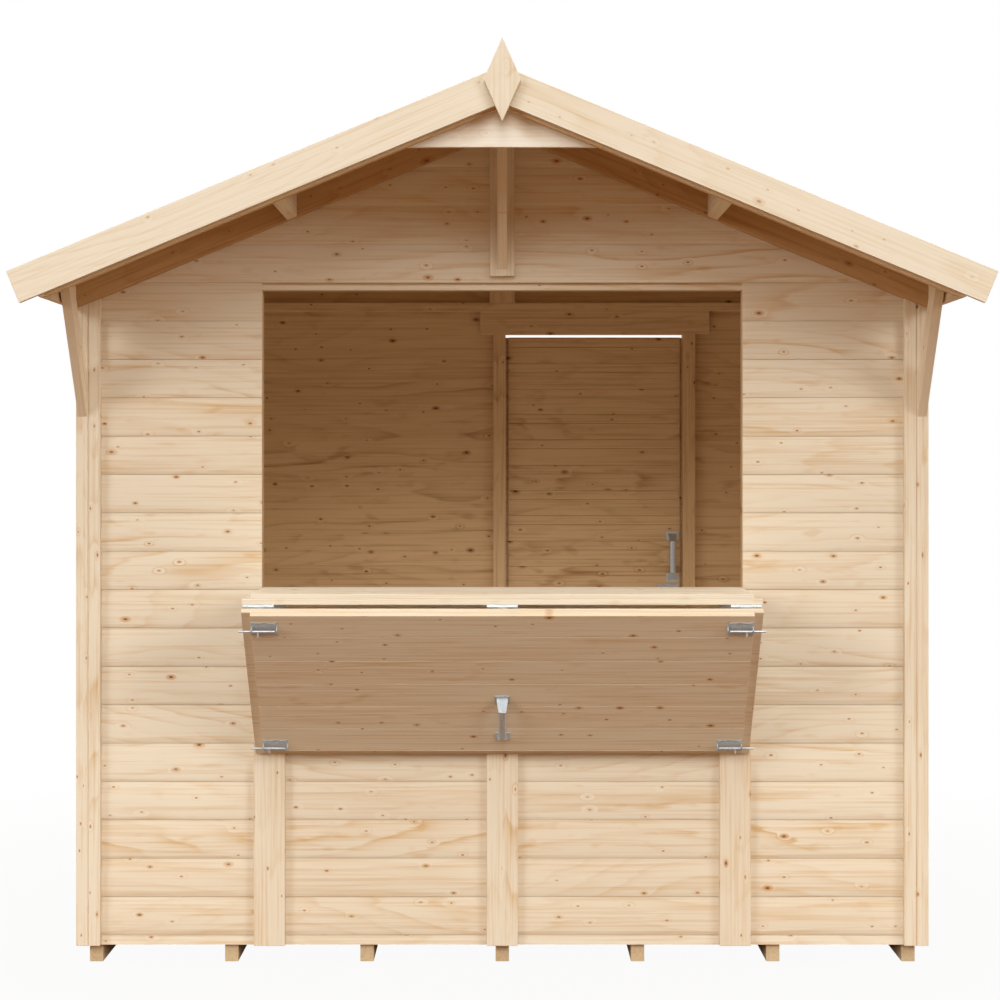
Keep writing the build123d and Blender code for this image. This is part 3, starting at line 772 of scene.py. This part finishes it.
def deck_boards(low, high, count):
    """Boards side by side along x, with their long edges eased."""
    pitch = (high[0] - low[0]) / count
    board = slab("deck_board", low, (low[0] + pitch - DECK_GAP, high[1], high[2]))
    bevel(board, lambda a, b: near(a.x, b.x) and near(a.z, b.z), EDGE)
    boards = [board]
    for i in range(1, count):
        boards.append(copy(board, Matrix.Translation((i * pitch, 0, 0))))
    return join("deck", boards)


def roof():
    """The right slope's boards, cut at the ridge and the eaves, and their mirror image."""
    low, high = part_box("roof_deck_right")
    right = deck_boards((-RIDGE_REACH, low.y, 0),
                        (ROOF_BOARDS * ROOF_BOARD - RIDGE_REACH, high.y, DECK), ROOF_BOARDS)
    right.data.transform(Matrix.Translation((0, 0, RIDGE_TOP))
                         @ Matrix.Rotation(ROOF_PITCH, 4, "Y"))
    cut(right, (0, 0, 0), (-1, 0, 0), True)
    cut(right, (ROOF_HALF, 0, 0), (1, 0, 0), True)
    left = copy(right, mirrored)
    right.name = "roof_right_boards"
    left.name = "roof_left_boards"
    replace(right, "roof_deck_right", roof_pine)
    replace(left, "roof_deck_left", roof_pine)


def floor_deck():
    """The floor's boards, drawn along x and turned to run across the stall."""
    low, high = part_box("floor_deck")
    boards = deck_boards((low.y, -high.x, low.z), (high.y, high.x, high.z), FLOOR_BOARDS)
    boards.data.transform(Matrix.Rotation(math.radians(90), 4, "Z"))
    boards.name = "floor_boards"
    replace(boards, "floor_deck", floor_pine)


roof()
floor_deck()


# The folds of the hatch


def turn_about(depth, height, angle):
    """A turn about a line that runs across the stall."""
    to = Matrix.Translation((0, depth, height))
    return to @ Matrix.Rotation(angle, 4, "X") @ to.inverted()


counter_down = turn_about(PIN_DEPTH, COUNTER_PIN, math.radians(90))
prop_down = counter_down @ turn_about(PIN_DEPTH, PROP_HINGE, math.radians(90) + LEAN)


# Leaves and timbers with eased edges


def two_layers(node, finish, outside, fold, depth, outwards, width=EDGE):
    """A leaf's inner boards, and its outer ones at the cladding's pitch, as drawn upright.

    depth is the joint of the two layers, and outwards the way that the outer one faces.
    """
    joint = fold @ Vector((0, depth, 0))
    facing = fold.to_3x3() @ Vector((0, outwards, 0))
    up = fold.to_3x3() @ Vector((0, 0, 1))
    inner = bare_copy(node + "_layer", node)
    cut(inner, joint - facing * LAYER_GAP, facing, True)
    layers = [inner]
    heights = [(fold.inverted() @ v.co).z for v in inner.data.vertices]
    row = math.floor((min(heights) - FIRST_JOINT - JOINT_SEARCH) / BOARD)
    while FIRST_JOINT + row * BOARD < max(heights) + JOINT_SEARCH:
        board = bare_copy(node + "_board", node)
        cut(board, joint + facing * LAYER_GAP, -facing, True)
        low = fold @ Vector((0, depth, FIRST_JOINT + row * BOARD))
        cut(board, low, -up, True)
        cut(board, low + up * BOARD, up, True)
        if board.data.polygons:
            layers.append(board)
        else:
            bpy.data.objects.remove(board)
        row += 1
    for layer in layers:
        soften(layer, width)
    whole = replace(join(node + "_boards", layers), node, finish)
    second_finish(whole, outside, facing)


# The counter leaf takes the paler pine with painted light
two_layers("counter_leaf", counter_painted_light_pine, counter_painted_light_pine, counter_down, HATCH_JOINT, -1)
# The prop leaf takes the darker pine with painted shade
two_layers("prop_leaf", prop_painted_shade_pine, prop_painted_shade_pine, prop_down, HATCH_JOINT, -1, FINE_EDGE)
# The door's inner layer takes the pine with painted shade
two_layers("door_leaf", door_inside_painted_shade, door_outside, fixed, DOOR_JOINT, 1)
for node, finish in timber_finish.items():
    replace(eased_copy(node + "_timber", node), node, finish)


# Metal fittings with eased edges


def bolt_seats():
    """Where each bolt's rod lies: on the folded hatch in pairs, and drawn back on the door."""
    seats = {}
    for row, place in zip(("upper", "lower"), BOLT_PLACES):
        seat = Matrix.Translation((BOLT_X, INNER_FACE, PROP_HINGE + place))
        seats["hatch_bolt_" + row + "_right"] = prop_down @ seat
        seats["hatch_bolt_" + row + "_left"] = prop_down @ mirrored @ seat
    drawn_back = Matrix.Translation((DOOR_BOLT_X - DOOR_THROW, DOOR_FACE, DOOR_BOLT_HEIGHT))
    seats["door_bolt"] = drawn_back @ Matrix.Diagonal((1, -1, 1, 1))
    return seats


def bolt_rod():
    """A rod along x over a plate on y = 0, with rounded ends and a knob turned downwards."""
    clear()
    bpy.ops.mesh.primitive_cylinder_add(
        vertices=24, radius=ROD, depth=ROD_LENGTH, rotation=(0, math.radians(90), 0),
        location=(ROD_LENGTH / 2 - ROD_TAIL, STAND_OFF, 0))
    rod = bpy.context.active_object
    settle(rod)
    bevel(rod, lambda a, b: near(a.x, b.x) and abs(a.x - ROD_LENGTH / 2 + ROD_TAIL)
          > ROD_LENGTH / 2 - MM, ROD_ROUND, 3)
    bpy.ops.mesh.primitive_cylinder_add(vertices=20, radius=KNOB, depth=KNOB_LENGTH,
                                        location=(0, 0, KNOB_LENGTH / 2))
    knob = bpy.context.active_object
    settle(knob)
    bevel(knob, lambda a, b: near(a.z, KNOB_LENGTH) and near(b.z, KNOB_LENGTH), ROD_ROUND, 3)
    knob.data.transform(Matrix.Translation((KNOB_PLACE, STAND_OFF, 0))
                        @ Matrix.Rotation(KNOB_TURN - math.radians(90), 4, "X"))
    whole = join("bolt_rod", [rod, knob])
    smooth(whole)
    return whole


rod = bolt_rod()
rod_seats = bolt_seats()
for node, seat in rod_seats.items():
    twin = copy(rod, seat)
    twin.name = node + "_rod"
    replace(twin, node, zinc_plate)
bpy.data.objects.remove(rod)

for node, thing in frame["nodes"].items():
    thing.data.materials.clear()
    thing.data.materials.append(zinc_plate)
    if slots[node] == "zinc_steel" and node not in rod_seats:
        fitting = eased_copy(node + "_metal", node, METAL_EDGE)
        smooth(fitting)
        replace(fitting, node, zinc_plate)


# Screws


def screw_head():
    """A low domed head with a cross cut in it, on y = 0 and looking towards -y."""
    clear()
    bpy.ops.mesh.primitive_cylinder_add(vertices=20, radius=HEAD, depth=HEAD_HEIGHT,
                                        location=(0, -HEAD_HEIGHT / 2, 0),
                                        rotation=(math.radians(90), 0, 0))
    head = bpy.context.active_object
    settle(head)
    bevel(head, lambda a, b: near(a.y, -HEAD_HEIGHT) and near(b.y, -HEAD_HEIGHT), HEAD_ROUND, 3)
    far, thin = CROSS_HALF, CROSS_HALF_WIDTH
    for half_width, half_height in ((far, thin), (thin, far)):
        cutter = slab("cross", (-half_width, -far, -half_height),
                      (half_width, -thin, half_height))
        select(head)
        hollow = head.modifiers.new("hollow", "BOOLEAN")
        hollow.operation = "DIFFERENCE"
        hollow.object = cutter
        bpy.ops.object.modifier_apply(modifier=hollow.name)
        bpy.data.objects.remove(cutter)
    smooth(head)
    return head


def flap_screws(depth, height):
    """Three screws in a row on each of the hatch's three hinges."""
    return [(x + dx, depth, height) for x in HINGE_X for dx in FLAP_SCREWS]


def corners(x, depth, height, reach):
    """A screw at each corner of a plate or foot."""
    return [(x + i * reach[0], depth, height + j * reach[1]) for i in (-1, 1) for j in (-1, 1)]


bolt_screws = []
for place in BOLT_PLACES:
    for x in (-BOLT_X, BOLT_X):
        bolt_screws += corners(x, INNER_FACE + PLATE, PROP_HINGE + place, PLATE_SCREWS)
handle_screws = corners(0, INNER_FACE + HANDLE_FOOT, HATCH_HANDLE_HEIGHT, HANDLE_SCREWS)
door_screws = corners(DOOR_BOLT_X, DOOR_FACE - PLATE, DOOR_BOLT_HEIGHT, PLATE_SCREWS)
door_screws += corners(DOOR_HANDLE_X, DOOR_FACE - HANDLE_FOOT, DOOR_HANDLE_HEIGHT, HANDLE_SCREWS)
leaf_flaps = [(DOOR_PIN + FLAP_MIDDLE, DOOR_BACK + PLATE, z + dz)
              for z in DOOR_HINGE_HEIGHTS for dz in FLAP_SCREWS]
frame_flaps = [(DOOR_PIN - FLAP_MIDDLE, y, z) for x, y, z in leaf_flaps]
screw = screw_head()
for name, body, turn, facing, places in (
        ("wall_hinge_screws", "stall", fixed, fixed,
         flap_screws(PIN_DEPTH + WALL_FLAP_DEPTH, COUNTER_PIN - FLAP_MIDDLE)),
        ("counter_hinge_screws", "counter", counter_down, fixed,
         flap_screws(PIN_DEPTH + LEAF_FLAP_DEPTH, COUNTER_PIN + FLAP_MIDDLE)
         + flap_screws(PIN_DEPTH + LEAF_FLAP_DEPTH, PROP_HINGE - FLAP_MIDDLE)),
        ("prop_hinge_screws", "prop", prop_down, fixed,
         flap_screws(PIN_DEPTH + LEAF_FLAP_DEPTH, PROP_HINGE + FLAP_MIDDLE)),
        ("hatch_bolt_screws", "prop", prop_down, faces_back, bolt_screws),
        ("hatch_handle_screws", "prop", prop_down, faces_back, handle_screws),
        ("door_inner_screws", "door", fixed, fixed, door_screws),
        ("door_hinge_screws", "door", fixed, faces_back, leaf_flaps),
        ("door_frame_screws", "stall", fixed, faces_back, frame_flaps)):
    heads = [copy(screw, turn @ Matrix.Translation(place) @ facing) for place in places]
    dress(join(name, heads), body, zinc_plate, "zinc_steel")
bpy.data.objects.remove(screw)


# Stage


def backdrop_finish():
    """A pale floor that the camera sees nearly white, with the shadow kept."""
    pale = Finish("pale_floor")
    pale.feed("Base Color", srgb(*FLOOR_COLOUR))
    pale.feed("Roughness", 0.9)
    glow = pale.add("ShaderNodeEmission", inputs={"Color": WHITE, "Strength": 1.0})
    rays = pale.add("ShaderNodeLightPath", output="Is Camera Ray")
    x, y, z = pale.place()
    away = (x * x + y * y).root()
    share = rays * (away.between(WHITE_FROM, WHITE_AT) * (1 - NEAR_WHITE) + NEAR_WHITE)
    mixed = pale.add("ShaderNodeMixShader", inputs={
        0: share, 1: Wire(pale, pale.surface.outputs[0]), 2: glow})
    output = pale.tree.nodes["Material Output"]
    pale.tree.links.new(mixed.socket, output.inputs["Surface"])
    return pale.material


def stage():
    """The floor that the stall stands on."""
    clear()
    bpy.ops.mesh.primitive_plane_add(size=FLOOR_SIZE, location=(0, 0, FLOOR_DROP))
    floor = bpy.context.active_object
    floor.name = "floor"
    floor.data.materials.append(backdrop_finish())
    settle(floor)


def world():
    """White to the camera and in reflections, and a faint warm glow for everything else."""
    sky = bpy.data.worlds.new("studio")
    bpy.context.scene.world = sky
    sky.use_nodes = True
    tree = sky.node_tree
    glow = tree.nodes["Background"]
    glow.inputs["Color"].default_value = GLOW_COLOUR
    glow.inputs["Strength"].default_value = GLOW_STRENGTH
    white = tree.nodes.new("ShaderNodeBackground")
    white.inputs["Color"].default_value = WHITE
    rays = tree.nodes.new("ShaderNodeLightPath")
    seen = tree.nodes.new("ShaderNodeMath")
    seen.operation = "MAXIMUM"
    tree.links.new(rays.outputs["Is Camera Ray"], seen.inputs[0])
    tree.links.new(rays.outputs["Is Glossy Ray"], seen.inputs[1])
    mixed = tree.nodes.new("ShaderNodeMixShader")
    tree.links.new(seen.outputs[0], mixed.inputs[0])
    tree.links.new(glow.outputs[0], mixed.inputs[1])
    tree.links.new(white.outputs[0], mixed.inputs[2])
    tree.links.new(mixed.outputs[0], tree.nodes["World Output"].inputs["Surface"])


def lamp(name, place, aim, width, height, power, colour=(1, 1, 1)):
    """A soft panel of light that looks from its place towards its aim."""
    data = bpy.data.lights.new(name, "AREA")
    data.shape = "RECTANGLE"
    data.size = width
    data.size_y = height
    data.energy = power
    data.color = colour
    light = bpy.data.objects.new(name, data)
    bpy.context.collection.objects.link(light)
    light.location = place
    direction = Vector(aim) - Vector(place)
    light.rotation_euler = direction.to_track_quat("-Z", "Y").to_euler()


def sun(name, azimuth, elevation, strength, spread):
    """Light from far away. Azimuth 0 is the front, and the spread in degrees softens shadows."""
    data = bpy.data.lights.new(name, "SUN")
    data.energy = strength
    data.angle = math.radians(spread)
    data.color = SUN_COLOUR
    light = bpy.data.objects.new(name, data)
    bpy.context.collection.objects.link(light)
    level = math.cos(math.radians(elevation))
    source = Vector((math.sin(math.radians(azimuth)) * level,
                     -math.cos(math.radians(azimuth)) * level,
                     math.sin(math.radians(elevation))))
    light.rotation_euler = (-source).to_track_quat("-Z", "Y").to_euler()


def camera():
    """The photo's view: straight on, with the frame shifted so that uprights stay upright."""
    data = bpy.data.cameras.new("photo_view")
    data.sensor_width = SENSOR
    data.lens = FOCAL_PIXELS / PHOTO_WIDTH * SENSOR
    data.shift_x = 0.5 - EYE_PIXEL[0] / PHOTO_WIDTH
    data.shift_y = EYE_PIXEL[1] / PHOTO_WIDTH - 0.5
    eye = bpy.data.objects.new("photo_view", data)
    bpy.context.collection.objects.link(eye)
    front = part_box("front_wall_lower")[0][1]
    eye.location = (0, front - EYE_DISTANCE, EYE_HEIGHT)
    eye.rotation_euler = (math.radians(90), 0, 0)
    bpy.context.scene.camera = eye


stage()
world()
sun("key", azimuth=0, elevation=30.5, strength=0.80, spread=26)
for side in (-1, 1):
    sun("side_key", azimuth=side * 52, elevation=20, strength=1.18, spread=26)
    lamp("side_light", place=(side * 6.5, 2.6, 3.6), aim=(0, 0.6, 1.2), width=4.0, height=4.0,
         power=110)
sun("top", azimuth=0, elevation=65, strength=1.15, spread=30)
lamp("back_light", place=(0, 6.8, 4.8), aim=(0, 0, 1.2), width=5.0, height=4.0, power=290)
lamp("inside_light", place=(0, -0.10, 0.42), aim=(0, 0.75, 0.95), width=2.0, height=0.4,
     power=5.5, colour=(0.96, 1.0, 0.92))
camera()
bpy.context.scene.view_settings.view_transform = "Standard"
